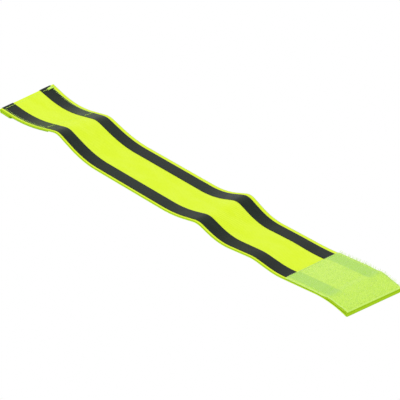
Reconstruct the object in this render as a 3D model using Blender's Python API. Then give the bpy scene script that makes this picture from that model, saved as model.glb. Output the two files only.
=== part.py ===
"""High-visibility elastic band with two reflective tapes and a hook-and-loop closure.

The band lies along X in gentle waves, with its taped face up, and Y runs across it. Z = 0 is the
surface it lies on, and the origin is under the middle of the band. The hook end is at -X and the
loop end at +X. The band bends at hinges across it, so everything that crosses a hinge is made as
one solid on each side of it.

Places along the band are stations: the distance in X from the hook end's fold. A height is
measured from the webbing's underside, along the band's own normal.
"""

import math

import bpy
import bmesh
from mathutils import Vector

MM = 0.001

# The whole band
BAND_LENGTH = 355.0 * MM
BAND_WIDTH = 50.0 * MM
STRETCHES = 12
ROOT_STRETCH = 6
PITCH = BAND_LENGTH / STRETCHES
GAP = 0.3 * MM

# Waves of the webbing's underside: straight slopes between corners, each corner given by its
# station, its height, and how far to either side of it the slopes are rounded into each other
WAVES = (
    (0.0, 5.4, 0.0),
    (29.0, 1.2, 18.0),
    (65.5, 9.3, 4.0),
    (94.5, 0.0, 14.5),
    (190.0, 0.0, 12.0),
    (214.5, 7.2, 4.0),
    (236.0, -0.4, 10.5),
    (268.0, 2.0, 4.5),
    (289.0, 1.0, 7.5),
    (340.0, 6.2, 15.0),
    (355.0, 0.6, 0.0),
)

# Webbing, and the hems folded at its two ends
WEBBING_THICKNESS = 1.2 * MM
WEBBING_HINGE_GAP = 0.8 * MM
HOOK_HEM_LENGTH = 11.5 * MM
LOOP_HEM_LENGTH = 17.0 * MM
FOLD_RADIUS = (WEBBING_THICKNESS + GAP) / 2.0
FOLD_STEPS = 6

# Reflective tapes
TAPE_WIDTH = 10.0 * MM
TAPE_THICKNESS = 0.25 * MM
NEAR_TAPE_MARGIN = 2.0 * MM
FAR_TAPE_MARGIN = 3.1 * MM
TAPE_HINGE_GAP = 1.2 * MM
TAPE_START = 1.5 * MM

# Hook patch, sewn under the -X end
HOOK_LENGTH = 55.0 * MM
HOOK_WIDTH = 48.0 * MM
HOOK_THICKNESS = 1.2 * MM
HOOK_HINGE_GAP = 2.4 * MM

# Loop patch, sewn on top of the +X end, its pile pressed flat in a margin where it is sewn
LOOP_LENGTH = 56.0 * MM
LOOP_WIDTH = 50.0 * MM
LOOP_THICKNESS = 1.0 * MM
LOOP_MARGIN = 3.0 * MM
LOOP_MARGIN_THICKNESS = 0.4 * MM
LOOP_PILE_RISE = 1.0 * MM
LOOP_HINGE_GAP = 2.0 * MM
RAMP_LENGTH = 4.0 * MM

# Sewing thread
THREAD_WIDTH = 0.7 * MM
THREAD_THICKNESS = 0.3 * MM
HOOK_ROW_INSET = 3.0 * MM
LOOP_ROW_INSET = 1.6 * MM
ZIGZAG_WIDTH = 1.8 * MM
ZIGZAG_STEP = 1.5 * MM

# Greatest length of one facet along the band, least distance between two facets' ends, and the
# least length that is made as a piece of its own
FACET = 3.0 * MM
CLEAR_OF_BREAK = 0.4 * MM
SHORTEST_PIECE = 2.0 * MM

HALF_WIDTH = BAND_WIDTH / 2.0
TAPE_TOP = WEBBING_THICKNESS + GAP + TAPE_THICKNESS
LOOP_HEM_TOP = 2.0 * WEBBING_THICKNESS + GAP
HOOK_HEM_BOTTOM = -(WEBBING_THICKNESS + GAP)
LOOP_START = BAND_LENGTH - LOOP_LENGTH
LOOP_HEM_START = BAND_LENGTH - LOOP_HEM_LENGTH
LEAST_PILE = 0.1


def clear_scene():
    for thing in list(bpy.data.objects):
        bpy.data.objects.remove(thing, do_unlink=True)


def make_material(name, colour, roughness, metallic=0.0):
    material = bpy.data.materials.new(name)
    material.use_nodes = True
    shader = material.node_tree.nodes["Principled BSDF"]
    shader.inputs["Base Color"].default_value = (*colour, 1.0)
    shader.inputs["Roughness"].default_value = roughness
    shader.inputs["Metallic"].default_value = metallic
    return material


def ramp(amount):
    """Ease from 0 to 1, level at both ends."""
    amount = min(max(amount, 0.0), 1.0)
    return (1.0 - math.cos(math.pi * amount)) / 2.0


def wave_at(station):
    """Height of the webbing's underside above the ground, and its slope as rise over run."""
    place = station / MM
    for (start, low, _), (end, high, _) in zip(WAVES, WAVES[1:]):
        if place <= end:
            break
    slope = (high - low) / (end - start)
    height = low + slope * (place - start)
    for before, corner, after in zip(WAVES, WAVES[1:], WAVES[2:]):
        corner_at, corner_height, reach = corner
        if abs(place - corner_at) < reach:
            slope_in = (corner_height - before[1]) / (corner_at - before[0])
            slope_out = (after[1] - corner_height) / (after[0] - corner_at)
            travel = place - corner_at + reach
            turn = (slope_out - slope_in) / (2.0 * reach)
            slope = slope_in + turn * travel
            height = corner_height + slope_in * (place - corner_at) + turn * travel**2 / 2.0
    return height * MM, slope


def on_band(station, height, forward=0.0):
    """Point in the XZ plane, a height above the underside and a distance forward of a station."""
    foot_z, rise = wave_at(station)
    slope = math.atan(rise)
    x = station - BAND_LENGTH / 2.0 + forward * math.cos(slope) - height * math.sin(slope)
    z = foot_z + forward * math.sin(slope) + height * math.cos(slope)
    return Vector((x, 0.0, z))


def stations_between(start, end, pile_ends=()):
    """Stations from start to end, with one wherever the band or its pile changes direction."""
    turns = []
    for corner_at, _, reach in WAVES[1:-1]:
        turns.extend([(corner_at - reach) * MM, (corner_at + reach) * MM])
    for station in pile_ends:
        turns.extend([station - LOOP_PILE_RISE, station, station + LOOP_PILE_RISE])
    breaks = [start]
    for station in sorted(turns):
        if breaks[-1] + CLEAR_OF_BREAK < station < end - CLEAR_OF_BREAK:
            breaks.append(station)
    breaks.append(end)
    stations = [start]
    for low, high in zip(breaks, breaks[1:]):
        count = max(1, math.ceil((high - low) / FACET))
        for index in range(1, count + 1):
            stations.append(low + (high - low) * index / count)
    return stations


def add_object(name, mesh_data, material):
    mesh = bpy.data.meshes.new(name)
    bmesh.ops.recalc_face_normals(mesh_data, faces=mesh_data.faces)
    mesh_data.to_mesh(mesh)
    mesh_data.free()
    mesh.materials.append(material)
    mesh.shade_smooth()
    mesh.set_sharp_from_angle(angle=math.radians(35.0))
    thing = bpy.data.objects.new(name, mesh)
    bpy.context.scene.collection.objects.link(thing)
    return thing


def loft(name, sections, pivot, material):
    """Join sections of as many corners, in order, into one closed solid with its origin at the pivot."""
    mesh_data = bmesh.new()
    rings = []
    for corners in sections:
        rings.append([mesh_data.verts.new(corner - pivot) for corner in corners])
    corner_count = len(rings[0])
    for ring, following in zip(rings, rings[1:]):
        for index in range(corner_count):
            after = (index + 1) % corner_count
            mesh_data.faces.new((ring[index], ring[after], following[after], following[index]))
    mesh_data.faces.new(rings[0][::-1])
    mesh_data.faces.new(rings[-1])
    thing = add_object(name, mesh_data, material)
    thing.location = pivot
    return thing


def add_strip(name, centre_line, thickness, side_low, side_high, pivot, material):
    """A flat strip whose middle follows a line in the XZ plane, between two sides in Y."""
    sections = []
    last = len(centre_line) - 1
    for index, point in enumerate(centre_line):
        along = centre_line[min(index + 1, last)] - centre_line[max(index - 1, 0)]
        outward = Vector((-along.z, 0.0, along.x)).normalized() * (thickness / 2.0)
        sections.append(
            [
                point - outward + Vector((0.0, side_low, 0.0)),
                point - outward + Vector((0.0, side_high, 0.0)),
                point + outward + Vector((0.0, side_high, 0.0)),
                point + outward + Vector((0.0, side_low, 0.0)),
            ]
        )
    return loft(name, sections, pivot, material)


def layer_line(start, end, height_at):
    """Middle line of a layer that lies along the band, its height given by a function."""
    return [on_band(station, height_at(station)) for station in stations_between(start, end)]


def hinge_station(number):
    return number * PITCH


def pivot_of(stretch):
    """Origin of a stretch's pieces, on the axis of the hinge that joins it towards the root."""
    if stretch < ROOT_STRETCH:
        station = hinge_station(stretch)
    elif stretch > ROOT_STRETCH:
        station = hinge_station(stretch - 1)
    else:
        station = hinge_station(ROOT_STRETCH) - PITCH / 2.0
    return on_band(station, WEBBING_THICKNESS / 2.0)


def piece_ends(start, end, hinge_gap):
    """Each stretch that a piece from start to end crosses, with the piece's ends on it."""
    pieces = []
    for stretch in range(1, STRETCHES + 1):
        low = max(start, hinge_station(stretch - 1) + hinge_gap / 2.0)
        high = min(end, hinge_station(stretch) - hinge_gap / 2.0)
        if high - low > SHORTEST_PIECE:
            pieces.append((stretch, low, high))
    return pieces


def fold_line(station, centre_height, direction):
    """Half circle around a fold, from the lower layer to the upper one."""
    points = []
    for step in range(FOLD_STEPS + 1):
        angle = math.pi * step / FOLD_STEPS
        height = centre_height - FOLD_RADIUS * math.cos(angle)
        points.append(on_band(station, height, direction * FOLD_RADIUS * math.sin(angle)))
    return points


def webbing_line(stretch):
    """Middle line of one stretch of webbing, with the hem folded at either end of the band."""
    middle = WEBBING_THICKNESS / 2.0
    turn_in = FOLD_RADIUS + WEBBING_THICKNESS / 2.0
    start = hinge_station(stretch - 1) + WEBBING_HINGE_GAP / 2.0
    end = hinge_station(stretch) - WEBBING_HINGE_GAP / 2.0
    if stretch == 1:
        hem = layer_line(turn_in, HOOK_HEM_LENGTH, lambda station: -GAP - middle)
        fold = fold_line(turn_in, -GAP / 2.0, -1.0)
        return hem[:0:-1] + fold + layer_line(turn_in, end, lambda station: middle)[1:]
    if stretch == STRETCHES:
        turn_back = BAND_LENGTH - turn_in
        hem_height = WEBBING_THICKNESS + GAP + middle
        hem = layer_line(LOOP_HEM_START, turn_back, lambda station: hem_height)
        fold = fold_line(turn_back, WEBBING_THICKNESS + GAP / 2.0, 1.0)
        return layer_line(start, turn_back, lambda station: middle)[:-1] + fold + hem[-2::-1]
    return layer_line(start, end, lambda station: middle)


def add_webbing(material):
    for stretch in range(1, STRETCHES + 1):
        add_strip(
            f"webbing_{stretch:02d}",
            webbing_line(stretch),
            WEBBING_THICKNESS,
            -HALF_WIDTH,
            HALF_WIDTH,
            pivot_of(stretch),
            material,
        )


def add_tapes(material):
    middle = TAPE_TOP - TAPE_THICKNESS / 2.0
    near = NEAR_TAPE_MARGIN - HALF_WIDTH
    far = HALF_WIDTH - FAR_TAPE_MARGIN
    for side, low, high in (("near", near, near + TAPE_WIDTH), ("far", far - TAPE_WIDTH, far)):
        for stretch, start, end in piece_ends(TAPE_START, LOOP_HEM_START - GAP, TAPE_HINGE_GAP):
            add_strip(
                f"reflective_tape_{side}_{stretch:02d}",
                layer_line(start, end, lambda station: middle),
                TAPE_THICKNESS,
                low,
                high,
                pivot_of(stretch),
                material,
            )


def hook_top(station):
    """Height of the hook patch's upper face, which steps down under the hem."""
    under_webbing = -GAP
    under_hem = HOOK_HEM_BOTTOM - GAP
    return under_hem + (under_webbing - under_hem) * ramp((station - HOOK_HEM_LENGTH) / RAMP_LENGTH)


def loop_bottom(station):
    """Height of the loop patch's lower face, which steps up over the hem."""
    over_tapes = TAPE_TOP + GAP
    over_hem = LOOP_HEM_TOP + GAP
    step_up = ramp((station - LOOP_HEM_START + GAP) / RAMP_LENGTH + 1.0)
    return over_tapes + (over_hem - over_tapes) * step_up


def pile_height(station):
    """Thickness of the loop patch between its two long margins."""
    inside = min(station - LOOP_START, BAND_LENGTH - station) - LOOP_MARGIN
    share = min(max(inside / LOOP_PILE_RISE, LEAST_PILE), 1.0)
    return LOOP_MARGIN_THICKNESS + (LOOP_THICKNESS - LOOP_MARGIN_THICKNESS) * share


def loop_section(station):
    """Corners across the loop patch: a low margin along each side and the pile between them."""
    side = LOOP_WIDTH / 2.0
    pile_side = side - LOOP_MARGIN
    margin = LOOP_MARGIN_THICKNESS
    pile = pile_height(station)
    half_section = ((side, 0.0), (side, margin), (pile_side, margin), (pile_side, pile))
    outline = [(-across, height) for across, height in half_section[::-1]]
    outline.extend(half_section)
    corners = []
    for across, height in outline:
        point = on_band(station, loop_bottom(station) + height)
        corners.append(point + Vector((0.0, across, 0.0)))
    return corners


def add_hook_patch(material):
    for stretch, start, end in piece_ends(0.0, HOOK_LENGTH, HOOK_HINGE_GAP):
        add_strip(
            f"hook_patch_{stretch:02d}",
            layer_line(start, end, lambda station: hook_top(station) - HOOK_THICKNESS / 2.0),
            HOOK_THICKNESS,
            -HOOK_WIDTH / 2.0,
            HOOK_WIDTH / 2.0,
            pivot_of(stretch),
            material,
        )


def add_loop_patch(material):
    pile_ends = (LOOP_START + LOOP_MARGIN, BAND_LENGTH - LOOP_MARGIN)
    for stretch, start, end in piece_ends(LOOP_START, BAND_LENGTH, LOOP_HINGE_GAP):
        sections = [loop_section(station) for station in stations_between(start, end, pile_ends)]
        loft(f"loop_patch_{stretch:02d}", sections, pivot_of(stretch), material)


def add_thread(name, plan, height_at, stretch, material):
    """A flat thread that follows points (station, side) laid on the band."""
    sections = []
    last = len(plan) - 1
    for index, (station, side) in enumerate(plan):
        before = plan[max(index - 1, 0)]
        after = plan[min(index + 1, last)]
        heading = Vector((after[0] - before[0], after[1] - before[1])).normalized()
        half = THREAD_WIDTH / 2.0
        left = (station - heading.y * half, side + heading.x * half)
        right = (station + heading.y * half, side - heading.x * half)
        corners = []
        for (at, across), rise in ((right, 0.0), (left, 0.0), (left, 1.0), (right, 1.0)):
            point = on_band(at, height_at(at) + rise * THREAD_THICKNESS)
            corners.append(point + Vector((0.0, across, 0.0)))
        sections.append(corners)
    return loft(name, sections, pivot_of(stretch), material)


def zigzag(start, end, side):
    """Plan of a zigzag row from start to end along one side."""
    count = round((end - start) / ZIGZAG_STEP)
    plan = []
    for index in range(count + 1):
        swing = ZIGZAG_WIDTH / 2.0 if index % 2 else -ZIGZAG_WIDTH / 2.0
        plan.append((start + (end - start) * index / count, side + swing))
    return plan


def add_hook_seams(material):
    """Two rows across the hook patch, and a zigzag along the outer edge of each tape."""
    def height_at(station):
        return TAPE_TOP + GAP

    near = NEAR_TAPE_MARGIN - HALF_WIDTH
    far = HALF_WIDTH - FAR_TAPE_MARGIN
    first = HOOK_ROW_INSET
    last = HOOK_LENGTH - HOOK_ROW_INSET
    for name, station, stretch in (("end", first, 1), ("inner", last, 2)):
        row = [(station, near), (station, far)]
        add_thread(f"hook_seam_{name}", row, height_at, stretch, material)
    clear = THREAD_WIDTH / 2.0 + ZIGZAG_WIDTH
    for label, across in (("near", near), ("far", far)):
        for stretch, start, end in piece_ends(first + clear, last - clear, TAPE_HINGE_GAP + GAP):
            row = zigzag(start, end, across)
            add_thread(f"hook_seam_{label}_{stretch:02d}", row, height_at, stretch, material)


def add_loop_seams(material):
    """Straight rows round all four sides of the loop patch."""
    def height_at(station):
        return loop_bottom(station) + LOOP_MARGIN_THICKNESS + GAP

    side = HALF_WIDTH - LOOP_ROW_INSET
    first = LOOP_START + LOOP_ROW_INSET
    last = BAND_LENGTH - LOOP_ROW_INSET
    rows = (("inner", first, STRETCHES - 1), ("end", last, STRETCHES))
    for name, station, stretch in rows:
        row = [(station, -side), (station, side)]
        add_thread(f"loop_seam_{name}", row, height_at, stretch, material)
    clear = THREAD_WIDTH
    for label, across in (("near", -side), ("far", side)):
        for stretch, start, end in piece_ends(first + clear, last - clear, LOOP_HINGE_GAP + GAP):
            row = [(station, across) for station in stations_between(start, end)]
            add_thread(f"loop_seam_{label}_{stretch:02d}", row, height_at, stretch, material)


def main():
    clear_scene()
    webbing = make_material("webbing", (0.66, 0.93, 0.03), 0.85)
    tape = make_material("reflective_tape", (0.045, 0.055, 0.045), 0.45)
    hook = make_material("hook_patch", (0.45, 0.75, 0.08), 0.9)
    loop = make_material("loop_patch", (0.60, 0.87, 0.15), 0.95)
    thread = make_material("thread", (0.62, 0.85, 0.30), 0.7)
    add_webbing(webbing)
    add_tapes(tape)
    add_hook_patch(hook)
    add_loop_patch(loop)
    add_hook_seams(thread)
    add_loop_seams(thread)


main()
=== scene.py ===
"""Looks of a high-visibility elastic band: webbing, reflective tapes, hook and loop patches, and seams.

Everything is laid out in band coordinates, in millimetres: a station along the band from the fold at its
hook end, a side across it that is negative at the near edge, and a height above the underside of the
webbing. place() turns them into points of the frame. Each layer is cut where the flat stretches between two
hinges are at their middle, so that each cut piece reaches over the one hinge inside it.
"""

import math

import bmesh
import bpy
import numpy as np
from mathutils import Matrix, Vector


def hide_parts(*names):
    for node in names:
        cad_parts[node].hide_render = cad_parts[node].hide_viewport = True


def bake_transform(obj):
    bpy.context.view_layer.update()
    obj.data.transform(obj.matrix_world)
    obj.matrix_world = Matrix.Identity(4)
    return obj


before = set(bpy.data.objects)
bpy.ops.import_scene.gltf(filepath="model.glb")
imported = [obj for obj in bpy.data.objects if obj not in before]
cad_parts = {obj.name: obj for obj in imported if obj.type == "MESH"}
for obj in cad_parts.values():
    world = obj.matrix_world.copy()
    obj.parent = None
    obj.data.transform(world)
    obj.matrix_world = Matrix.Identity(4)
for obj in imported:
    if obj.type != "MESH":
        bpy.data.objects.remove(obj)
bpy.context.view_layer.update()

MM = 0.001

# Band. A span of a layer reaches over one hinge, and the first and the last also over an end of the band.
BAND_LENGTH = 355.0
HALF_WIDTH = 25.0
STRETCHES = 12
LAST_SPAN = STRETCHES - 1
STRETCH = BAND_LENGTH / STRETCHES
WEBBING = 1.2
HEM_GAP = 0.3
FOLD_RADIUS = (WEBBING + HEM_GAP) / 2.0
FOLD_STEPS = 16
HOOK_HEM = 11.5
LOOP_HEM_START = 338.0

# In the loop end's hem, the cut end of the webbing runs on under the patch, pressed to a share of its
# thickness
RAW_END = 4.0
RAW_END_SHARE = 0.25
HEM_POINTS = 24

# Air between two layers, so that neither cuts into the other
HEM_CLEARANCE = 0.06
PATCH_CLEARANCE = 0.04
TAPE_CLEARANCE = 0.03

# Each corner of the wavy line that the band lies along: its station, the height of the middle of the
# underside, how far the corner is rounded to either side, and how far the near edge lifts there while the
# far edge drops.
WAVES = (
    (0.0, 5.4, 0.0, -2.5),
    (29.0, 1.2, 18.0, 1.0),
    (65.5, 9.3, 4.0, 1.6),
    (94.5, 0.0, 14.5, 0.0),
    (189.6, 0.0, 12.0, 0.0),
    (213.8, 7.2, 4.0, -1.9),
    (235.5, -0.4, 10.5, -0.4),
    (268.0, 2.0, 4.5, 1.2),
    (289.0, 1.0, 7.5, -0.3),
    (340.0, 6.2, 15.0, -0.2),
    (355.0, 0.6, 0.0, 0.5),
)

# Crosswise ribs of the webbing, a whole number to each stretch
RIBS_PER_STRETCH = 23
RIB = STRETCH / RIBS_PER_STRETCH
ROWS_PER_RIB = 4
RIB_DEPTH = 0.07
RIB_NOTCH = 0.12

# Reflective tapes. At the hook end they run on around the fold, by TAPE_TURN degrees.
TAPE_WIDTH = 10.0
TAPE_THICKNESS = 0.22
TAPE_ROW = STRETCH / 48
TAPE_TURN = 65.0
TAPE_TURN_STEPS = 10
TAPE_END = LOOP_HEM_START - 0.4
NEAR_TAPE = (2.0 - HALF_WIDTH, 2.0 - HALF_WIDTH + TAPE_WIDTH)
FAR_TAPE = (HALF_WIDTH - 3.1 - TAPE_WIDTH, HALF_WIDTH - 3.1)

# Loop patch. Its pile stands inside a thin rim, and the patch climbs over the hem within LOOP_STEP. The two
# least values are the shares of the full height that remain at the patch's cut edges.
LOOP_START = 299.0
LOOP_END = BAND_LENGTH - 0.9
LOOP_HALF_WIDTH = 24.6
LOOP_RIM = 1.1
LOOP_RIM_THICKNESS = 0.42
LOOP_RIM_ROUND = 0.35
LOOP_RIM_LEAST = 0.35
LOOP_THICKNESS = 0.95
LOOP_ROW = 0.7
LOOP_STEP = 6.0
LOOP_COLUMNS = 44
PILE_RISE = 0.7
PILE_START_RISE = 0.9
PILE_START_LEAST = 0.35
PILE_LUMP = 0.06

# At the tip the stiff webbing stands off its fold: the gap that it turns round, its reach past the band's
# length, and the length of the swell, which is complete at TIP_SWELL_INSET before the tip
TIP_GAP = 1.05
TIP_REACH = 0.2
TIP_SWELL = 8.0
TIP_SWELL_INSET = 2.0

# Fibres of the loop patch. Along its sides most stand at the far one, where they also stand higher.
NAP_PER_AREA = 0.55
NAP_SINK = 0.05
NAP_RADII = (0.065, 0.06, 0.05, 0.04, 0.02)
NAP_ACROSS = (0.83, 0.21, 0.52)
EDGE_FIBRES_PER_LENGTH = 3.6
EDGE_FIBRE_SINK = 0.08
FAR_FIBRE_SHARE = 0.7
NEAR_FIBRE_RISE = 0.3

# Hook patch
HOOK_START = 0.8
HOOK_END = 55.0
HOOK_HALF_WIDTH = 24.7
HOOK_BASE = 0.6
HOOK_ROW = 0.8
HOOK_STEP = 4.0
HOOK_BEVEL = 0.15

# Its hooks: a straight shank, then a curl of HOOK_CURL radians
HOOK_HEIGHT = 0.8
HOOK_PITCH_ALONG = 1.9
HOOK_PITCH_ACROSS = 1.55
HOOK_END_MARGIN = 0.9
HOOK_SIDE_MARGIN = 1.6
HOOK_STAGGER = 0.3
HOOK_SHANK = 0.45
HOOK_CURL = 2.6
HOOK_LEAN = 0.22
HOOK_SINK = 0.05
HOOK_RADII = (0.11, 0.1, 0.1, 0.1, 0.09, 0.06)

# Sewing thread. A stitch is a bow of six points, thin at both ends, where it enters the cloth.
THREAD_RADIUS = 0.18
STITCH = 2.3
STITCH_GAP = 0.3
STITCH_LEAST = 1.0
STITCH_BOW = np.array([0.0, 0.75, 1.0, 1.0, 0.75, 0.0])
STITCH_RADII = np.array([0.5, 0.95, 1.0, 1.0, 0.95, 0.5]) * THREAD_RADIUS
STITCH_ACROSS = (0.6, 0.7, 0.25)
STITCH_WANDER = 0.08
STITCH_SINK = 0.02
LIFT_ACROSS = 0.1
LIFT_ALONG = 0.08
UNDER_LIFT = -0.1
CUT_GAP = 0.2

# Height of the thread's middle above a tape, in the bare webbing and above the loop patch
THREAD_ON_TAPE = 0.08
THREAD_IN_WEBBING = -0.14
THREAD_ON_LOOP = 0.04

# Seams of the hook patch: a row across at each end, and a comb of teeth over each tape's outer edge
HOOK_END_ROW = 3.5
HOOK_INNER_ROW = 51.5
HOOK_ROW_MARGIN = 1.0
COMB_START = HOOK_END_ROW + 0.8
TOOTH_PITCH = 1.65
TOOTH_INSIDE = 1.25
TOOTH_OUTSIDE = 0.35
TOOTH_GAP = 0.2
TOOTH_LIFT = 0.07

# Bar tack on the far tape at the hook end: strands across the band, wrapped by short stitches along it
TACK_SIDES = (17.2, 22.8)
TACK_STRANDS = 9
TACK_STRAND_PITCH = 0.2
TACK_WRAP_START = 17.6
TACK_WRAPS = 8
TACK_WRAP_PITCH = 0.6
TACK_LIFT = 0.42

# Seams of the loop patch
LOOP_ROW_INSET = 0.8
LOOP_ROW_MARGIN = 0.6
LOOP_INNER_INSET = 1.0
LOOP_TIP_BELOW = 1.6
LOOP_SIDE_GAPS = (0.4, 0.6)

# Stage
FLOOR_DROP = 150.0
FLOOR_REACH = 1.5
FLOOR_COLOUR = (0.92, 0.92, 0.91, 1.0)
FLOOR_ROUGHNESS = 0.9

# Lamps: azimuth and elevation in degrees, distance and size in metres, power in watts
LAMPS = (
    ("key", -60.0, 55.0, 1.2, 1.0, 2.0),
    ("fill", 70.0, 35.0, 1.4, 1.2, 0.8),
)

# Camera
AZIMUTH = math.radians(46.5)
ELEVATION = math.radians(29.85)
ROLL = math.radians(2.42)
DISTANCE = 1536.5
AIM = (7.5, 0.0, 0.0)
AIM_RIGHT = 3.44
AIM_UP = 1.35
SENSOR = 36.0
LENS = 202.2
CLIP_START = 0.05
CLIP_END = 20.0


# ---------------------------------------------------------------- band coordinates


def wave_at(station, side):
    """Height of the band's underside above the frame's zero plane, and its rise along the band."""
    corners = [(at, low - twist * side / HALF_WIDTH, reach) for at, low, reach, twist in WAVES]
    rises = [(after[1] - before[1]) / (after[0] - before[0]) for before, after in zip(corners, corners[1:])]
    height = corners[0][1] + rises[0] * station
    rise = rises[0]
    for (at, _, reach), rise_in, rise_out in zip(corners[1:-1], rises, rises[1:]):
        share = np.clip((station - at + reach) / (2.0 * reach), 0.0, 1.0)
        past = np.where(share < 1.0, reach * share**2, station - at)
        height = height + (rise_out - rise_in) * past
        rise = rise + (rise_out - rise_in) * share
    return height, rise


def place(station, side, height):
    """Points of the frame, in millimetres, for band coordinates."""
    station, side, height = np.broadcast_arrays(station, side, height)
    foot, rise = wave_at(station, side)
    slope = np.arctan(rise)
    x = station - BAND_LENGTH / 2.0 - height * np.sin(slope)
    z = foot + height * np.cos(slope)
    return np.stack((x, side, z), axis=-1)


def middle_of(stretch):
    """Station of the middle of a stretch, where the layers are cut."""
    return (stretch - 0.5) * STRETCH


def step_up(station, start, length):
    """A soft step from 0 to 1 that starts at a station."""
    share = np.clip((station - start) / length, 0.0, 1.0)
    return share * share * (3.0 - 2.0 * share)


def loop_floor(station):
    """Height of the loop patch's lower face, which climbs over the folded hem."""
    over_tapes = WEBBING + TAPE_THICKNESS + TAPE_CLEARANCE
    over_hem = 2.0 * WEBBING + HEM_GAP + PATCH_CLEARANCE
    climb = (over_hem - over_tapes) * step_up(station, LOOP_HEM_START - LOOP_STEP, LOOP_STEP)
    return over_tapes + climb + (TIP_GAP - HEM_GAP) * tip_swell(station)


def tip_swell(station):
    """How far the hem stands off towards the tip, from 0 to 1."""
    return step_up(station, BAND_LENGTH - TIP_SWELL - TIP_SWELL_INSET, TIP_SWELL)


def raw_end(station):
    """Share of the webbing's thickness in the loop end's hem, which is least at the cut end."""
    return RAW_END_SHARE + (1.0 - RAW_END_SHARE) * step_up(station, LOOP_HEM_START - LOOP_STEP, LOOP_STEP)


def hook_ceiling(station):
    """Height of the hook patch's upper face, which passes under the folded hem."""
    under_hem = -WEBBING - HEM_GAP - PATCH_CLEARANCE
    under_webbing = -PATCH_CLEARANCE
    return under_hem + (under_webbing - under_hem) * step_up(station, HOOK_HEM, HOOK_STEP)


# ---------------------------------------------------------------- meshes


def add_mesh(name, points, faces, material, band, sharp_ends=0):
    """A closed smooth mesh from points in millimetres, whose last sharp_ends faces keep sharp edges.

    band holds each point's place on the band, for the material.
    """
    mesh = bpy.data.meshes.new(name)
    mesh.from_pydata((points * MM).tolist(), [], faces)
    shape = bmesh.new()
    shape.from_mesh(mesh)
    bmesh.ops.recalc_face_normals(shape, faces=shape.faces)
    shape.to_mesh(mesh)
    shape.free()
    mesh.shade_smooth()
    if sharp_ends:
        ends = {tuple(sorted(key)) for face in mesh.polygons[-sharp_ends:] for key in face.edge_keys}
        flags = [tuple(sorted(edge.vertices)) in ends for edge in mesh.edges]
        marks = mesh.attributes.get("sharp_edge") or mesh.attributes.new("sharp_edge", "BOOLEAN", "EDGE")
        marks.data.foreach_set("value", flags)
    layer = mesh.attributes.new("band", "FLOAT_VECTOR", "POINT")
    layer.data.foreach_set("vector", np.asarray(band, dtype=np.float32).ravel())
    mesh.materials.append(material)
    piece = bpy.data.objects.new(name, mesh)
    bpy.context.scene.collection.objects.link(piece)
    return piece


def add_loft(name, station, side, height, along, material):
    """A closed skin over rows of band coordinates, each row one ring.

    along is each row's place in the cloth.
    """
    station, side, height, along = np.broadcast_arrays(station, side, height, along)
    rows, columns = station.shape
    points = place(station, side, height).reshape(-1, 3)
    band = np.stack((along, side, height), axis=-1).reshape(-1, 3)
    index = np.arange(rows * columns).reshape(rows, columns)
    after = np.roll(index, -1, axis=1)
    quads = np.stack((index[:-1], after[:-1], after[1:], index[1:]), axis=-1).reshape(-1, 4)
    faces = quads.tolist() + [index[0, ::-1].tolist(), index[-1].tolist()]
    return add_mesh(name, points, faces, material, band, sharp_ends=2)


def add_tubes(name, lines, radii, across, material, corners):
    """Closed tubes along lines of band coordinates, with one radius for each point of a line.

    across is a direction of the frame that no line runs along.
    """
    lines = np.asarray(lines, dtype=float)
    across = np.asarray(across, dtype=float)
    points = place(lines[..., 0], lines[..., 1], lines[..., 2])
    heading = np.gradient(points, axis=1)
    heading /= np.linalg.norm(heading, axis=2, keepdims=True)
    first = across - heading * (heading @ across)[..., None]
    first /= np.linalg.norm(first, axis=2, keepdims=True)
    second = np.cross(heading, first)
    turn = (np.arange(corners) * (2.0 * math.pi / corners))[None, None, :, None]
    spoke = first[:, :, None] * np.cos(turn) + second[:, :, None] * np.sin(turn)
    rings = points[:, :, None] + spoke * np.asarray(radii, dtype=float)[None, :, None, None]
    count, steps = lines.shape[:2]
    index = np.arange(count * steps * corners).reshape(count, steps, corners)
    after = np.roll(index, -1, axis=2)
    quads = np.stack((index[:, :-1], after[:, :-1], after[:, 1:], index[:, 1:]), axis=-1).reshape(-1, 4)
    faces = quads.tolist() + index[:, 0, ::-1].tolist() + index[:, -1].tolist()
    band = np.repeat(lines, corners, axis=1).reshape(-1, 3)
    return add_mesh(name, rings.reshape(-1, 3), faces, material, band)


def hinge(piece, span, nodes):
    """Bake a piece's transform into its mesh, and hide the CAD nodes that it stands for."""
    start = place(middle_of(span), 0.0, WEBBING / 2.0) * MM
    end = place(middle_of(span + 1), 0.0, WEBBING / 2.0) * MM
    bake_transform(piece)
    if nodes:
        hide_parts(*nodes)


def nodes_of(layer, span):
    """CAD nodes of a long layer that a span stands for. The last span stands for two."""
    nodes = [f"{layer}_{span:02d}"]
    if span == LAST_SPAN:
        nodes.append(f"{layer}_{STRETCHES}")
    return nodes


def fold_arc(turn_station, centre_height, direction, radius, start, end, steps):
    """Stations and heights around a fold, between two angles from its lower layer."""
    angle = np.radians(np.linspace(start, end, steps + 1))
    return turn_station + direction * radius * np.sin(angle), centre_height - radius * np.cos(angle)


def spaced(line, step):
    """A line of stations and heights again, with equal steps measured back from its last point."""
    pieces = np.hypot(*np.diff(line, axis=1))
    reach = np.concatenate(([0.0], np.cumsum(pieces)))
    count = max(1, math.ceil(reach[-1] / step - 1e-6))
    at = np.maximum(reach[-1] - step * np.arange(count, -1, -1), 0.0)
    return np.stack([np.interp(at, reach, row) for row in line]), at


def thickened(line, rise, upwards=1.0):
    """Stations and heights of a layer's skin, which stands off its middle line by rise, one row per point.

    upwards is -1 for a line that runs back to front, so that a positive rise stays the upper face.
    """
    run, climb = np.gradient(line, axis=1)
    length = np.hypot(run, climb)
    station = line[0][:, None] + upwards * (-climb / length)[:, None] * rise
    height = line[1][:, None] + upwards * (run / length)[:, None] * rise
    return station, height


# ---------------------------------------------------------------- layers


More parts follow.
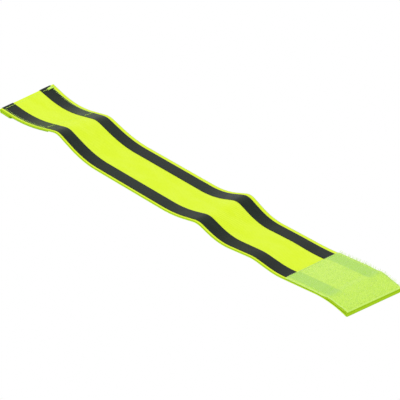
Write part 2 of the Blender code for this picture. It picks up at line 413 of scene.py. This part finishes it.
def webbing_line(span):
    """Middle line of the webbing in one span, with each row's place along the cloth."""
    middle = WEBBING / 2.0
    low, high = middle_of(span), middle_of(span + 1)
    step = RIB / ROWS_PER_RIB
    if span == 1:
        turn_in = FOLD_RADIUS + middle
        arc = fold_arc(turn_in, -HEM_GAP / 2.0, -1.0, FOLD_RADIUS, 0.0, 180.0, FOLD_STEPS)
        stations = np.concatenate(([HOOK_HEM], arc[0], [high]))
        heights = np.concatenate(([-HEM_GAP - middle], arc[1], [middle]))
        line, at = spaced(np.array([stations, heights]), step)
        return line, at - at[-1] + high
    if span == LAST_SPAN:
        tip_radius = (WEBBING + TIP_GAP) / 2.0
        turn_back = BAND_LENGTH + TIP_REACH - tip_radius - middle
        arc = fold_arc(turn_back, WEBBING + TIP_GAP / 2.0, 1.0, tip_radius, 0.0, 180.0, FOLD_STEPS)
        hem = np.linspace(turn_back, LOOP_HEM_START - RAW_END, HEM_POINTS)[1:]
        hem_height = loop_floor(hem) - HEM_CLEARANCE - middle * raw_end(hem)
        stations = np.concatenate(([low], arc[0], hem))[::-1]
        heights = np.concatenate(([middle], arc[1], hem_height))[::-1]
        line, at = spaced(np.array([stations, heights]), step)
        return line, low + at[-1] - at
    line, at = spaced(np.array([[low, high], [middle, middle]]), step)
    return line, at + low


def webbing_section():
    """Sides around the webbing, and levels as shares of half its thickness, with a selvage at both edges."""
    edge = [(25.0, 0.0), (25.0, 0.5), (24.8, 0.88), (24.35, 1.0), (23.5, 0.93), (22.0, 0.96)]
    flat = [(side, 0.97) for side in (17.0, 11.5, 6.0, 0.0)]
    upper = edge + flat + [(-side, level) for side, level in flat[-2::-1] + edge[::-1]]
    lower = [(side, -level) for side, level in upper[1:-1]][::-1]
    outline = np.array(upper + lower)
    return outline[:, 0], outline[:, 1]


def add_webbing(material):
    """The webbing. Its ribs are real relief, and its edges are notched a little between them."""
    sides, levels = webbing_section()
    for span in range(1, STRETCHES):
        line, along = webbing_line(span)
        groove = 0.5 - 0.5 * np.cos(2.0 * math.pi * along / RIB)
        rise = (WEBBING / 2.0 - RIB_DEPTH * groove)[:, None] * levels
        upwards = 1.0
        if span == LAST_SPAN:
            upwards = -1.0
            in_hem = line[1] > WEBBING + HEM_GAP / 2.0
            thinned = np.where(in_hem, raw_end(line[0]), 1.0)
            filled = (TIP_GAP - HEM_GAP) / 2.0 * tip_swell(line[0])
            rise = rise * thinned[:, None] + filled[:, None] * np.maximum(levels, 0.0)
        station, height = thickened(line, rise, upwards)
        notch = RIB_NOTCH * groove[:, None] * (np.abs(sides) / HALF_WIDTH) ** 8
        side = sides - np.sign(sides) * notch
        piece = add_loft(f"webbing_span_{span:02d}", station, side, height, along[:, None], material)
        hinge(piece, span, nodes_of("webbing", span))


def tape_line(span):
    """Middle line of a tape in one span, with each row's place along the tape."""
    middle = WEBBING + TAPE_THICKNESS / 2.0
    low, high = middle_of(span), min(middle_of(span + 1), TAPE_END)
    if span == 1:
        outer = FOLD_RADIUS + WEBBING / 2.0
        radius = outer + TAPE_THICKNESS / 2.0
        arc = fold_arc(outer, -HEM_GAP / 2.0, -1.0, radius, 180.0 - TAPE_TURN, 180.0, TAPE_TURN_STEPS)
        line = np.array([np.concatenate((arc[0], [high])), np.concatenate((arc[1], [middle]))])
    else:
        line = np.array([[low, high], [middle, middle]])
    line, at = spaced(line, TAPE_ROW)
    return line, at - at[-1] + high


def add_tapes(material):
    """Both tapes, with rounded edges."""
    ring = [(0.0, -0.6), (0.0, 0.2), (0.12, 0.85), (0.5, 1.0), (5.0, 1.0), (9.5, 1.0), (9.88, 0.85)]
    ring += [(10.0, 0.2), (10.0, -0.6), (9.7, -1.0), (5.0, -1.0), (0.3, -1.0)]
    across, levels = np.array(ring).T
    for name, start in (("near", NEAR_TAPE[0]), ("far", FAR_TAPE[0])):
        for span in range(1, STRETCHES):
            line, along = tape_line(span)
            station, height = thickened(line, TAPE_THICKNESS / 2.0 * levels)
            side = start + across
            piece = add_loft(f"tape_{name}_span_{span:02d}", station, side, height, along[:, None], material)
            hinge(piece, span, nodes_of(f"reflective_tape_{name}", span))


def loop_pile(station, side):
    """Thickness of the loop patch: a thin rim along both sides and the tip, and lumpy pile inside it."""
    from_edge = np.minimum(LOOP_HALF_WIDTH - np.abs(side), LOOP_END - station)
    inside = np.clip((from_edge - LOOP_RIM) / PILE_RISE, 0.0, 1.0)
    inside = inside * np.clip(PILE_START_LEAST + (station - LOOP_START) / PILE_START_RISE, 0.0, 1.0)

    # Lumps about 1.5 mm long and 1.9 mm wide, in rows that wander
    lumps_along = np.sin(station * 4.1 + 1.3 * np.sin(side * 0.9))
    lumps_across = np.sin(side * 3.3 + 0.7 * np.sin(station * 0.6))
    pile = LOOP_THICKNESS - LOOP_RIM_THICKNESS + PILE_LUMP * lumps_along * lumps_across
    edge_round = np.sqrt(np.clip(from_edge / LOOP_RIM_ROUND, 0.0, 1.0))
    rim = LOOP_RIM_THICKNESS * (LOOP_RIM_LEAST + (1.0 - LOOP_RIM_LEAST) * edge_round)
    return rim + pile * inside


def add_loop_patch(material, nap_material):
    """The loop patch, with points closer together where its rim bends, and its fibres."""
    half = LOOP_HALF_WIDTH
    foot = half - LOOP_RIM
    rim = [half, half - 0.12, half - 0.4, foot, foot - 0.35, foot - 0.8]
    pile = np.linspace(foot - 1.4, 1.4 - foot, LOOP_COLUMNS)
    upper = rim + pile.tolist() + [-side for side in rim[::-1]]
    lower = np.linspace(-half, half, 12)
    side = np.concatenate((upper, lower))
    is_upper = np.concatenate((np.ones(len(upper)), np.zeros(len(lower))))
    cut = middle_of(LAST_SPAN)
    for number, span, low, high in ((1, LAST_SPAN - 1, LOOP_START, cut), (2, LAST_SPAN, cut, LOOP_END)):
        count = max(2, round((high - low) / LOOP_ROW))
        station = np.linspace(low, high, count + 1)
        if number == 1:
            station = np.concatenate(([low, low + 0.15, low + 0.4], station[1:]))
        else:
            station = np.concatenate((station[:-1], [high - 0.35, high - 0.12, high]))
            station = np.unique(np.round(station, 4))
        station = station[:, None]
        height = loop_floor(station) + is_upper * loop_pile(station, side)
        piece = add_loft(f"loop_patch_span_{number:02d}", station, side, height, station, material)
        hinge(piece, span, [f"loop_patch_{span + 1}"])
        nap = add_nap(number, low, high, nap_material)
        hinge(nap, span, [])


def add_nap(number, low, high, material):
    """Fine looped fibres over the pile, and longer ones that lean outwards along its two sides."""
    random = np.random.default_rng(20 + number)
    end = high - LOOP_RIM
    inside = LOOP_HALF_WIDTH - LOOP_RIM
    share = np.linspace(0.0, 1.0, len(NAP_RADII))[None, :]

    count = int((high - low) * 2.0 * LOOP_HALF_WIDTH * NAP_PER_AREA)
    station = random.uniform(low + 0.5, end - 0.2, count)
    side = random.uniform(-inside, inside, count)
    reach = random.uniform(0.5, 0.95, count)[:, None] * share
    lean = random.normal(math.pi / 2.0, 0.5, count)[:, None]
    rise = random.uniform(0.18, 0.34, count)[:, None] * np.sin(share * 2.3)
    foot = (loop_floor(station) + loop_pile(station, side) - NAP_SINK)[:, None]
    stations = station[:, None] + reach * np.cos(lean)
    sides = side[:, None] + reach * np.sin(lean)
    pile = np.stack((stations, sides, foot + rise), axis=-1)

    count = int((high - low) * EDGE_FIBRES_PER_LENGTH)
    outward = np.where(random.random(count) < FAR_FIBRE_SHARE, 1.0, -1.0)
    station = random.uniform(low + 0.5, end, count)
    side = outward * (LOOP_HALF_WIDTH - random.uniform(0.05, 0.35, count))
    reach = outward[:, None] * random.uniform(0.5, 1.1, count)[:, None] * share**0.7
    drift = random.normal(0.0, 0.35, count)[:, None] * share
    steepness = np.where(outward > 0.0, 1.0, NEAR_FIBRE_RISE)[:, None]
    rise = random.uniform(0.9, 2.1, count)[:, None] * steepness * share
    foot = (loop_floor(station) + loop_pile(station, side) - EDGE_FIBRE_SINK)[:, None]
    fringe = np.stack((station[:, None] + drift, side[:, None] + reach, foot + rise), axis=-1)

    lines = np.concatenate((pile, fringe))
    return add_tubes(f"loop_nap_span_{number:02d}", lines, NAP_RADII, NAP_ACROSS, material, 3)


def add_hook_patch(material, hook_material):
    """The hook patch's base, a strip with bevelled edges, and the hooks under it."""
    half = HOOK_HALF_WIDTH
    edge = half - HOOK_BEVEL
    sides = (edge, half / 2.0, 0.0, -half / 2.0, -edge)
    outline = [(half, 0.25)] + [(side, 0.0) for side in sides] + [(-half, 0.25), (-half, 0.75)]
    outline += [(side, 1.0) for side in sides[::-1]] + [(half, 0.75)]
    side, level = np.array(outline).T
    cut = middle_of(2)
    for number, low, high in ((1, HOOK_START, cut), (2, cut, HOOK_END)):
        station = np.linspace(low, high, max(2, round((high - low) / HOOK_ROW)) + 1)[:, None]
        height = hook_ceiling(station) - HOOK_BASE * level
        piece = add_loft(f"hook_patch_span_{number:02d}", station, side, height, station, material)
        hinge(piece, number, [f"hook_patch_{number:02d}"])
        hooks = add_hooks(number, low, high, hook_material)
        hinge(hooks, number, [])


def add_hooks(number, low, high, material):
    """Rows of small nylon hooks under the patch, which lean one way and the other in turn."""
    rows = np.arange(low + HOOK_END_MARGIN, high - HOOK_END_MARGIN, HOOK_PITCH_ALONG)
    reach = HOOK_HALF_WIDTH - HOOK_SIDE_MARGIN
    columns = np.arange(-reach, reach, HOOK_PITCH_ACROSS)
    share = np.linspace(0.0, 1.0, len(HOOK_RADII))
    curl = HOOK_CURL * np.clip((share - HOOK_SHANK) / (1.0 - HOOK_SHANK), 0.0, 1.0)
    depth = HOOK_HEIGHT * np.where(share < HOOK_SHANK, share / 0.6, 0.75 + 0.25 * np.sin(curl))
    lines = []
    for row_number, row in enumerate(rows):
        height = hook_ceiling(row) - HOOK_BASE + HOOK_SINK - depth
        for column_number, column in enumerate(columns):
            way = 1.0 if (row_number + column_number) % 2 else -1.0
            along = row + way * HOOK_LEAN * (1.0 - np.cos(curl))
            side = np.full(len(share), column + HOOK_STAGGER * (row_number % 2))
            lines.append(np.stack((along, side, height), axis=-1))
    return add_tubes(f"hook_field_span_{number:02d}", lines, HOOK_RADII, (0.0, 1.0, 0.0), material, 3)


# ---------------------------------------------------------------- seams


def on_tape(side):
    """Height of the thread's middle on top of the band at a side: on a tape, or sunk into the webbing."""
    on_one = NEAR_TAPE[0] < side < NEAR_TAPE[1] or FAR_TAPE[0] < side < FAR_TAPE[1]
    return WEBBING + (TAPE_THICKNESS + THREAD_ON_TAPE if on_one else THREAD_IN_WEBBING)


def under_hooks(station):
    """Height of the hook patch's lower face."""
    return float(hook_ceiling(np.array(station))) - HOOK_BASE


def on_loop(station, side):
    """Height of the thread's middle on top of the loop patch."""
    station, side = np.array(station), np.array(side)
    return float(loop_floor(station) + loop_pile(station, side)) + THREAD_ON_LOOP


def stitch_lines(ends, lift):
    """Curved stitches between pairs of points (station, side, height), each bowed up by the lift."""
    share = np.linspace(0.0, 1.0, len(STITCH_BOW))
    lines = []
    for start, end in ends:
        start, end = np.asarray(start, dtype=float), np.asarray(end, dtype=float)
        line = start + (end - start) * share[:, None]
        line[:, 2] += lift * STITCH_BOW
        lines.append(line)
    return lines


def row_across(station, reach, height_at, random, lift):
    """A straight row of stitches across the band, from -reach to reach."""
    ends = []
    side = -reach
    while side < reach - STITCH:
        height = height_at(side) - STITCH_SINK
        start = (station + random.normal(0.0, STITCH_WANDER), side, height)
        end = (station + random.normal(0.0, STITCH_WANDER), side + STITCH - STITCH_GAP, height)
        ends.append((start, end))
        side += STITCH
    return stitch_lines(ends, lift)


def rows_across(station, station_below, reach, top_at, below, random):
    """A row across the band with its lower side, which lies at one height."""
    lines = row_across(station, reach, top_at, random, LIFT_ACROSS)
    return lines + row_across(station_below, reach, lambda side: below, random, UNDER_LIFT)


def row_along(side, low, high, height_at, lift):
    """A straight row of stitches along the band."""
    ends = []
    station = low
    while station < high - STITCH_LEAST:
        after = min(station + STITCH - STITCH_GAP, high)
        ends.append(((station, side, height_at(station)), (after, side, height_at(after))))
        station += STITCH
    return stitch_lines(ends, lift)


def comb_row(start, end, edge, outward, random):
    """Teeth over a tape's outer edge, each a stitch across it and one beside the tape to the next tooth."""
    ends = []
    outer = edge + outward * TOOTH_OUTSIDE
    beside = on_tape(outer)
    station = start
    while station < end - TOOTH_PITCH:
        inner = edge - outward * TOOTH_INSIDE * random.uniform(0.75, 1.15)
        tip = station + random.uniform(0.0, 0.15)
        ends.append(((station, outer, beside), (tip, inner, on_tape(inner))))
        ends.append(((station + 0.1, outer, beside), (station + TOOTH_PITCH - TOOTH_GAP, outer, beside)))
        station += TOOTH_PITCH
    return stitch_lines(ends, TOOTH_LIFT)


def bar_tack(random):
    """The lump of thread on the far tape at the hook end: strands across the band and wraps over them."""
    low, high = TACK_SIDES
    row = HOOK_END_ROW
    height = on_tape(low)
    ends = []
    for strand in range(TACK_STRANDS):
        wobble = random.normal(0.0, 0.12, 4)
        back = strand * TACK_STRAND_PITCH
        start = (row + 1.0 - back + wobble[0], low + wobble[1] * 4.0, height + 0.05)
        end = (row + 0.5 - back + wobble[2], high + wobble[3] * 3.0, height + 0.05)
        ends.append((start, end))
    for wrap in range(TACK_WRAPS):
        side = TACK_WRAP_START + wrap * TACK_WRAP_PITCH
        ends.append(((row - 1.0, side, height + 0.1), (row + 1.2, side + 0.35, height + 0.1)))
    return stitch_lines(ends, TACK_LIFT)


def add_seam(name, lines, span, node, material):
    piece = add_tubes(name, lines, STITCH_RADII, STITCH_ACROSS, material, 5)
    hinge(piece, span, [node])


def add_hook_seams(material):
    """The four seams of the hook patch, seen on top of the band, with their lower sides."""
    random = np.random.default_rng(7)
    reach = HOOK_HALF_WIDTH - HOOK_ROW_MARGIN
    cut = middle_of(2)

    below = under_hooks(HOOK_END_ROW)
    end_row = rows_across(HOOK_END_ROW, HOOK_END_ROW, reach, on_tape, below, random)
    end_row += bar_tack(random)
    add_seam("stitches_hook_end", end_row, 1, "hook_seam_end", material)

    below = under_hooks(HOOK_INNER_ROW)
    inner_row = rows_across(HOOK_INNER_ROW, HOOK_INNER_ROW, reach, on_tape, below, random)
    add_seam("stitches_hook_inner", inner_row, 2, "hook_seam_inner", material)

    for name, edge, outward in (("near", NEAR_TAPE[0], -1.0), ("far", FAR_TAPE[1], 1.0)):
        for number, low, high in ((1, COMB_START, cut), (2, cut + CUT_GAP, HOOK_INNER_ROW)):
            lines = comb_row(low, high, edge, outward, random)
            lines += row_along(edge, low, high, under_hooks, UNDER_LIFT)
            where = f"{name}_{number:02d}"
            add_seam(f"stitches_hook_{where}", lines, number, f"hook_seam_{where}", material)


def add_loop_seams(material):
    """The four seams of the loop patch, with their lower sides on the underside of the band."""
    random = np.random.default_rng(11)
    reach = LOOP_HALF_WIDTH - LOOP_ROW_MARGIN
    cut = middle_of(LAST_SPAN)
    tip = LOOP_END - LOOP_ROW_INSET
    inner = LOOP_START + LOOP_INNER_INSET
    rows = (
        ("tip", tip, tip - LOOP_TIP_BELOW, LAST_SPAN, "loop_seam_end"),
        ("inner", inner, inner, LAST_SPAN - 1, "loop_seam_inner"),
    )
    for name, station, station_below, span, node in rows:
        lines = rows_across(station, station_below, reach, lambda side: on_loop(station, side), 0.0, random)
        add_seam(f"stitches_loop_{name}", lines, span, node, material)
    low_end, high_end = inner + LOOP_SIDE_GAPS[0], tip - LOOP_SIDE_GAPS[1]
    for name, sign in (("near", -1.0), ("far", 1.0)):
        side = sign * (LOOP_HALF_WIDTH - LOOP_ROW_INSET)
        for stretch, low, high in ((LAST_SPAN, low_end, cut), (STRETCHES, cut + CUT_GAP, high_end)):
            lines = row_along(side, low, high, lambda station: on_loop(station, side), LIFT_ALONG)
            lines += row_along(side, low, high - LOOP_TIP_BELOW, lambda station: 0.0, UNDER_LIFT)
            where = f"{name}_{stretch}"
            add_seam(f"stitches_loop_{where}", lines, stretch - 1, f"loop_seam_{where}", material)


# ---------------------------------------------------------------- materials


class Nodes:
    """A material's node tree, with short calls to add and join its nodes."""

    def __init__(self, name):
        self.material = bpy.data.materials.new(name)
        self.material.use_nodes = True
        self.tree = self.material.node_tree
        self.shader = self.tree.nodes["Principled BSDF"]

    def add(self, kind, settings=None, **inputs):
        node = self.tree.nodes.new("ShaderNode" + kind)
        for key, value in (settings or {}).items():
            setattr(node, key, value)
        for key, value in inputs.items():
            self.put(node.inputs[key], value)
        return node

    def put(self, socket, value):
        if isinstance(value, bpy.types.NodeSocket):
            self.tree.links.new(value, socket)
        else:
            socket.default_value = value

    def fill(self, node, *values):
        """Put values into a node's first inputs, and return its first output."""
        for socket, value in zip(node.inputs, values):
            self.put(socket, value)
        return node.outputs[0]

    def math(self, operation, *values):
        return self.fill(self.add("Math", {"operation": operation}), *values)

    def times(self, first, second):
        return self.math("MULTIPLY", first, second)

    def wave(self, operation, value, length):
        """SINE or COSINE of a distance, with a wavelength in millimetres."""
        return self.math(operation, self.times(value, 2.0 * math.pi / length))

    def band(self):
        """The point's distance along the cloth, side and height, in millimetres, and all three at once."""
        vector = self.add("Attribute", {"attribute_name": "band"}).outputs["Vector"]
        parts = self.add("SeparateXYZ", Vector=vector)
        return parts.outputs[0], parts.outputs[1], parts.outputs[2], vector

    def noise(self, vector, stretch, detail=3.0, roughness=0.55):
        """Noise with so many features per millimetre in each direction."""
        scaled = self.fill(self.add("VectorMath", {"operation": "MULTIPLY"}), vector, stretch)
        texture = self.add("TexNoise", None, Vector=scaled, Scale=1.0, Detail=detail, Roughness=roughness)
        return texture.outputs["Fac"]

    def mix(self, share, first, second):
        node = self.add("Mix", {"data_type": "RGBA"})
        self.put(node.inputs[0], share)
        self.put(node.inputs[6], first)
        self.put(node.inputs[7], second)
        return node.outputs[2]

    def remap(self, value, low, high, to_low=0.0, to_high=1.0):
        node = self.add("MapRange", {"interpolation_type": "SMOOTHSTEP"})
        return self.fill(node, value, low, high, to_low, to_high)

    def bump(self, height, strength, distance):
        node = self.add("Bump", None, Strength=strength, Distance=distance * MM, Height=height)
        return node.outputs["Normal"]

    def finish(self, **sockets):
        for key, value in sockets.items():
            self.put(self.shader.inputs[key.replace("_", " ")], value)
        return self.material


def colour(red, green, blue):
    """A linear colour from display values out of 255."""
    channels = []
    for value in (red, green, blue):
        share = value / 255.0
        channels.append(share / 12.92 if share <= 0.04045 else ((share + 0.055) / 1.055) ** 2.4)
    return (*channels, 1.0)


def webbing_material():
    """Fluorescent elastic: crosswise ribs, a fine knit between them, bright selvages, and painted shade in
    the rib grooves, on the sides, the tip's turn and the hem under the hook end.
    """
    n = Nodes("fluorescent_webbing")
    along, side, height, vector = n.band()
    ribs = n.wave("COSINE", along, RIB)
    knit = n.wave("SINE", side, 0.8)
    grain = n.noise(vector, (0.5, 5.0, 0.5))
    mottle = n.noise(vector, (0.05, 0.12, 0.1), 2.0)
    fibre = n.noise(vector, (9.0, 3.0, 3.0), 2.0, 0.7)
    base = n.mix(n.remap(mottle, 0.35, 0.65), colour(218, 241, 42), colour(221, 243, 60))
    base = n.mix(n.remap(grain, 0.3, 0.7, 0.0, 0.35), base, colour(206, 234, 34))
    # Painted shade: the rib grooves darker and greener
    base = n.mix(n.remap(ribs, -1.0, 0.4, 0.4, 0.0), base, colour(198, 226, 18))
    base = n.mix(n.remap(fibre, 0.62, 0.8, 0.0, 0.3), base, colour(234, 248, 118))

    # The selvage, and painted shade on its shoulder and its outer side
    edge = n.math("ABSOLUTE", side)
    base = n.mix(n.remap(edge, HALF_WIDTH - 1.4, HALF_WIDTH - 0.8, 0.0, 0.6), base, colour(230, 246, 44))
    base = n.mix(n.remap(edge, HALF_WIDTH - 0.7, HALF_WIDTH - 0.5), base, colour(140, 184, 3))
    base = n.mix(n.remap(edge, HALF_WIDTH - 0.3, HALF_WIDTH - 0.12), base, colour(178, 216, 8))

    # Painted shade, darker green, on the turn at the tip and on the hem under the hook end
    tip_start, tip_end = BAND_LENGTH - 2.4, BAND_LENGTH + 4.0
    turn = n.times(n.remap(along, tip_start, tip_start + 1.0), n.remap(along, tip_end + 1.5, tip_end))
    base = n.mix(turn, base, colour(160, 200, 2))
    shade_under_hook = n.times(n.remap(height, 0.2, -0.1), n.remap(along, HOOK_HEM + 2.5, HOOK_HEM - 1.5))
    base = n.mix(n.times(shade_under_hook, 0.8), base, colour(176, 216, 4))

    worn = n.remap(n.noise(vector, (0.35, 0.8, 0.8), 4.0), 0.62, 0.75, 0.0, 0.35)
    base = n.mix(n.times(worn, n.remap(ribs, -0.2, 1.0)), base, colour(236, 252, 120))
    weave = n.times(knit, n.remap(ribs, -1.0, 1.0))
    return n.finish(
        Base_Color=base,
        Roughness=n.remap(fibre, 0.3, 0.7, 0.72, 0.9),
        Specular_IOR_Level=0.18,
        Sheen_Weight=0.04,
        Sheen_Roughness=0.5,
        Normal=n.bump(n.math("ADD", n.times(weave, 0.5), fibre), 0.35, 0.06),
    )


def tape_material():
    """Dark reflective tape: fine glass beads, the ribs showing faintly through, scuffs, a painted reflection
    where the band rises near the hook end, and darker towards the loop end.
    """
    n = Nodes("reflective_tape_grey")
    along, _, _, vector = n.band()
    beads = n.noise(vector, (7.0, 7.0, 7.0), 2.0, 0.7)
    cloud = n.noise(vector, (0.12, 0.25, 0.2), 3.0)
    ribs = n.wave("COSINE", along, RIB)
    scuff = n.remap(n.noise(vector, (0.25, 3.2, 1.0), 3.0, 0.65), 0.66, 0.76, 0.0, 0.35)
    base = n.mix(n.remap(cloud, 0.35, 0.65), colour(15, 25, 18), colour(23, 34, 26))
    base = n.mix(n.remap(beads, 0.5, 0.75, 0.0, 0.4), base, colour(50, 60, 50))
    base = n.mix(scuff, base, colour(84, 94, 84))
    # Painted reflection: lighter, greener tape where the band rises, from station 22 to 72
    painted_reflection = n.times(n.remap(along, 22.0, 48.0), n.remap(along, 72.0, 50.0))
    base = n.mix(n.times(painted_reflection, 0.12), base, colour(120, 150, 84))
    # Darker towards the loop end
    base = n.mix(n.remap(along, 190.0, 330.0, 0.0, 0.6), base, colour(6, 11, 8))
    return n.finish(
        Base_Color=base,
        Roughness=n.math("ADD", n.remap(cloud, 0.3, 0.7, 0.42, 0.52), n.times(scuff, 0.3)),
        Specular_IOR_Level=0.17,
        Specular_Tint=(0.88, 1.0, 0.86, 1.0),
        Normal=n.bump(n.math("ADD", n.times(ribs, 0.35), beads), 0.25, 0.05),
    )


def loop_material():
    """Brushed loop pile, pale because it scatters light, with the tapes ghosting through from below, and
    painted shade in the hollows between tufts and on the cut edge at the tip.
    """
    n = Nodes("loop_pile")
    along, side, height, vector = n.band()
    slant = n.add(
        "CombineXYZ", None, X=n.math("ADD", along, side), Y=n.math("SUBTRACT", along, side), Z=height
    ).outputs[0]
    tufts = n.noise(slant, (2.6, 0.7, 0.6), 2.0, 0.6)
    fuzz = n.noise(vector, (5.0, 5.0, 5.0), 2.0, 0.7)
    stripes = []
    for low, high in (NEAR_TAPE, FAR_TAPE):
        stripes.append(n.times(n.remap(side, low - 0.8, low + 0.8), n.remap(side, high + 0.8, high - 0.8)))
    over_tapes = n.remap(along, LOOP_HEM_START + 3.0, LOOP_HEM_START - 3.0)
    ghost = n.times(n.math("MAXIMUM", *stripes), over_tapes)
    base = n.mix(n.remap(along, LOOP_START, BAND_LENGTH), colour(207, 240, 102), colour(203, 238, 90))
    base = n.mix(n.times(ghost, 0.85), base, colour(165, 211, 103))
    # Painted shade: darker and greener in the hollows between tufts, where the bump is low
    base = n.mix(n.remap(tufts, 0.36, 0.6, 0.8, 0.0), base, colour(166, 214, 58))
    base = n.mix(n.remap(fuzz, 0.52, 0.72, 0.0, 0.6), base, colour(226, 250, 160))

    # The rim, and painted shade, darker green, on the cut edge at the tip
    side_rim, tip_rim = LOOP_HALF_WIDTH - LOOP_RIM, LOOP_END - LOOP_RIM
    on_side_rim = n.remap(n.math("ABSOLUTE", side), side_rim - 0.2, side_rim + 0.3)
    on_tip_rim = n.remap(along, tip_rim - 0.2, tip_rim + 0.3)
    base = n.mix(n.times(n.math("MAXIMUM", on_side_rim, on_tip_rim), 0.8), base, colour(208, 242, 118))
    base = n.mix(n.remap(along, LOOP_END - 0.3, LOOP_END - 0.1), base, colour(166, 210, 20))
    return n.finish(
        Base_Color=base,
        Roughness=n.remap(fuzz, 0.3, 0.7, 0.8, 0.98),
        Specular_IOR_Level=0.15,
        Sheen_Weight=0.3,
        Sheen_Roughness=0.4,
        Normal=n.bump(n.math("ADD", tufts, fuzz), 0.7, 0.15),
    )


def nap_material():
    """Loose fibres of the pile."""
    n = Nodes("loop_fibre")
    vector = n.band()[-1]
    tone = n.noise(vector, (2.0, 2.0, 2.0), 1.0)
    return n.finish(
        Base_Color=n.mix(n.remap(tone, 0.3, 0.7), colour(210, 244, 128), colour(234, 253, 176)),
        Roughness=n.remap(tone, 0.3, 0.7, 0.55, 0.75),
        Specular_IOR_Level=0.3,
        Sheen_Weight=0.2,
        Normal=n.bump(n.noise(vector, (12.0, 12.0, 12.0), 1.0), 0.2, 0.03),
    )


def hook_material(name, low, high, roughness):
    """Moulded and woven nylon of the hook patch, between two colours."""
    n = Nodes(name)
    _, side, _, vector = n.band()
    weave = n.wave("SINE", side, HOOK_PITCH_ACROSS)
    tone = n.noise(vector, (0.8, 0.8, 2.0), 2.0)
    fine = n.noise(vector, (6.0, 6.0, 6.0), 2.0)
    base = n.mix(n.remap(tone, 0.3, 0.7), colour(*low), colour(*high))
    base = n.mix(n.remap(fine, 0.55, 0.75, 0.0, 0.3), base, colour(214, 244, 110))
    return n.finish(
        Base_Color=base,
        Roughness=n.remap(fine, 0.3, 0.7, roughness - 0.06, roughness + 0.1),
        Specular_IOR_Level=0.4,
        Normal=n.bump(n.math("ADD", n.times(weave, 0.4), fine), 0.3, 0.08),
    )


def thread_material(name, low, high, shade):
    """Twisted polyester sewing thread, between two colours and with shaded turns."""
    n = Nodes(name)
    along, side, height, vector = n.band()
    twist = n.wave("SINE", n.math("ADD", along, n.math("ADD", side, height)), 0.45)
    tone = n.noise(vector, (0.9, 0.9, 0.9), 2.0)
    base = n.mix(n.remap(tone, 0.3, 0.7), colour(*low), colour(*high))
    base = n.mix(n.remap(twist, -1.0, 0.2, 0.35, 0.0), base, colour(*shade))
    return n.finish(
        Base_Color=base,
        Roughness=n.remap(tone, 0.3, 0.7, 0.5, 0.65),
        Specular_IOR_Level=0.3,
        Sheen_Weight=0.15,
        Normal=n.bump(twist, 0.4, 0.05),
    )


# ---------------------------------------------------------------- stage


def towards(azimuth, elevation):
    """Unit direction from the band to a lamp or the camera, for angles in radians."""
    return Vector(
        (
            math.sin(azimuth) * math.cos(elevation),
            -math.cos(azimuth) * math.cos(elevation),
            math.sin(elevation),
        )
    )


def add_floor():
    """A pale floor below the closed ring, which hangs lower than the open band. It lights them from below."""
    mesh = bpy.data.meshes.new("floor")
    corners = [(x * FLOOR_REACH, y * FLOOR_REACH, 0.0) for x, y in ((-1, -1), (1, -1), (1, 1), (-1, 1))]
    mesh.from_pydata(corners, [], [(0, 1, 2, 3)])
    material = bpy.data.materials.new("floor_paper")
    material.use_nodes = True
    shader = material.node_tree.nodes["Principled BSDF"]
    shader.inputs["Base Color"].default_value = FLOOR_COLOUR
    shader.inputs["Roughness"].default_value = FLOOR_ROUGHNESS
    mesh.materials.append(material)
    floor = bpy.data.objects.new("floor", mesh)
    floor.location.z = -FLOOR_DROP * MM
    floor.visible_camera = False
    floor.visible_shadow = False
    bpy.context.scene.collection.objects.link(floor)


def add_light(name, azimuth, elevation, distance, size, power):
    """A soft square lamp that faces the band."""
    lamp = bpy.data.lights.new(name, "AREA")
    lamp.size = size
    lamp.energy = power
    holder = bpy.data.objects.new(name, lamp)
    back = towards(math.radians(azimuth), math.radians(elevation))
    holder.location = back * distance
    holder.rotation_euler = back.to_track_quat("Z", "Y").to_euler()
    bpy.context.scene.collection.objects.link(holder)


def add_studio():
    """A white surround, which gives most of the light, and two lamps."""
    scene = bpy.context.scene
    scene.view_settings.view_transform = "Standard"
    world = bpy.data.worlds.new("white_tent")
    world.use_nodes = True
    background = world.node_tree.nodes["Background"]
    background.inputs["Color"].default_value = (1.0, 1.0, 1.0, 1.0)
    background.inputs["Strength"].default_value = 1.0
    scene.world = world
    for lamp in LAMPS:
        add_light(*lamp)


def add_camera():
    """The photo's camera: a long lens that looks down on the near edge of the band from its loop end."""
    scene = bpy.context.scene
    right = Vector((math.cos(AZIMUTH), math.sin(AZIMUTH), 0.0))
    back = towards(AZIMUTH, ELEVATION)
    up = back.cross(right)
    target = (Vector(AIM) + right * AIM_RIGHT + up * AIM_UP) * MM
    lens = bpy.data.cameras.new("camera")
    lens.lens = LENS
    lens.sensor_width = SENSOR
    lens.clip_start = CLIP_START
    lens.clip_end = CLIP_END
    camera = bpy.data.objects.new("camera", lens)
    turn = Matrix((right, up, back)).transposed() @ Matrix.Rotation(ROLL, 3, "Z")
    camera.matrix_world = Matrix.Translation(target + back * DISTANCE * MM) @ turn.to_4x4()
    scene.collection.objects.link(camera)
    scene.camera = camera


add_camera()
add_studio()
add_floor()
add_webbing(webbing_material())
add_tapes(tape_material())
add_loop_patch(loop_material(), nap_material())
add_hook_patch(
    hook_material("hook_ground", (140, 186, 8), (160, 204, 18), 0.7),
    hook_material("hook_nylon", (176, 216, 60), (206, 240, 110), 0.35),
)
add_hook_seams(thread_material("sewing_thread", (200, 240, 84), (214, 248, 120), (168, 218, 56)))
add_loop_seams(thread_material("pale_thread", (205, 240, 112), (220, 248, 142), (182, 224, 90)))
